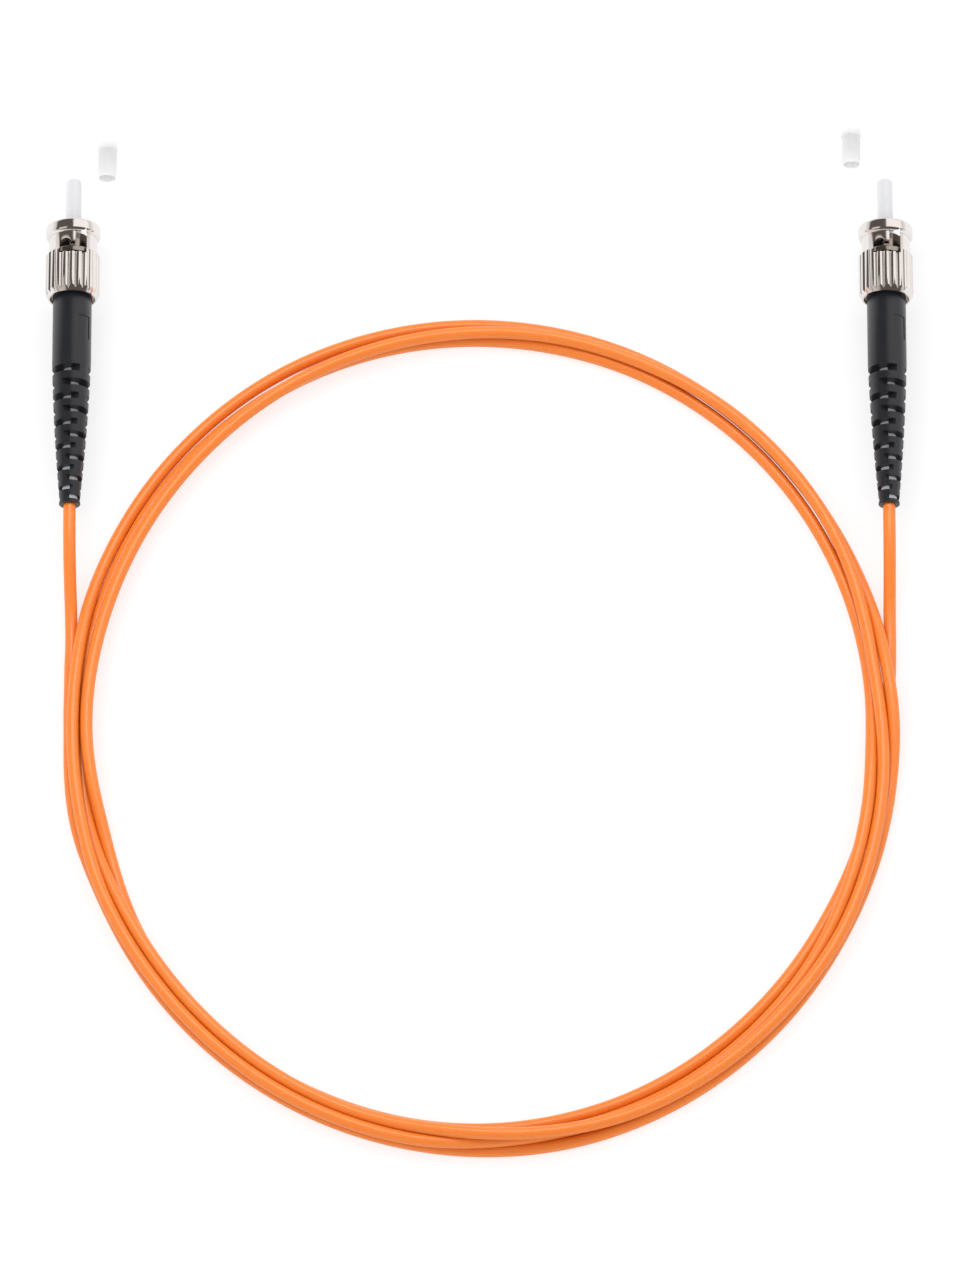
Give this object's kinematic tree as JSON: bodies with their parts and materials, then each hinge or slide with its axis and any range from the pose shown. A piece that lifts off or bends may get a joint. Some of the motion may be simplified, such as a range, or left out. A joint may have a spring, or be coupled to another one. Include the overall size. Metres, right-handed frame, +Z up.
{
  "type": "fibre patch cord",
  "caption": "Simplex orange fibre patch cord in a round coil, with a sprung bayonet connector on each end and both dust caps taken off.",
  "frame": {"origin": "on the table, under the middle of the box round the two connectors and their caps", "axes": "+Y out of the ferrules, +X from the left connector to the right one, +Z up from the table"},
  "size_m": [0.1392, 0.1761, 0.0088],
  "materials": {
    "zirconia": "polished white ceramic",
    "barrel_nickel": "bright nickel plate",
    "nut_nickel": "polished nickel plate",
    "spring_steel": "drawn wire",
    "washer_steel": "smooth",
    "clip_steel": "oiled spring steel",
    "crimp_metal": "plain, pressed",
    "aramid_yarn": "fine straight yarn",
    "buffer_coating": "smooth",
    "orange_jacket": "satin extruded jacket",
    "pale_liner": "smooth",
    "boot_rubber": "satin moulded",
    "cap_polythene": "milky, slightly see-through"
  },
  "bodies": {
    "connectors": {"cord_coil": "orange_jacket", "left_ferrule": "zirconia", "left_barrel": "barrel_nickel", "left_spring": "spring_steel", "left_retaining_clip": "clip_steel", "left_crimp_sleeve": "crimp_metal", "left_yarn": "aramid_yarn", "left_fibre": "buffer_coating", "left_jacket": "orange_jacket", "left_liner": "pale_liner", "left_boot": "boot_rubber", "left_dust_cap": "cap_polythene", "left_tail": "orange_jacket", "right_ferrule": "zirconia", "right_barrel": "barrel_nickel", "right_spring": "spring_steel", "right_retaining_clip": "clip_steel", "right_crimp_sleeve": "crimp_metal", "right_yarn": "aramid_yarn", "right_fibre": "buffer_coating", "right_jacket": "orange_jacket", "right_liner": "pale_liner", "right_boot": "boot_rubber", "right_dust_cap": "cap_polythene", "right_tail": "orange_jacket"},
    "left_slider": {"left_thrust_washer": "washer_steel"},
    "left_nut": {"left_coupling_nut": "nut_nickel"},
    "right_slider": {"right_thrust_washer": "washer_steel"},
    "right_nut": {"right_coupling_nut": "nut_nickel"}
  },
  "joints": [
    {"name": "left_nut_push", "type": "slide", "parent": "connectors", "child": "left_slider", "axis": [0, 1, 0], "range_m": [0, 0.002], "stiffness_N_per_m": 2000, "springref_m": -0.0015, "deforming": ["left_spring"]},
    {"name": "left_nut_turn", "type": "hinge", "parent": "left_slider", "child": "left_nut", "pos_m": [-0.06525, 0.0084, 0.0044], "axis": [0, 1, 0], "continuous": true},
    {"name": "right_nut_push", "type": "slide", "parent": "connectors", "child": "right_slider", "axis": [0, 1, 0], "range_m": [0, 0.002], "stiffness_N_per_m": 2000, "springref_m": -0.0015, "deforming": ["right_spring"]},
    {"name": "right_nut_turn", "type": "hinge", "parent": "right_slider", "child": "right_nut", "pos_m": [0.06525, 0.0084, 0.0044], "axis": [0, 1, 0], "continuous": true}
  ]
}
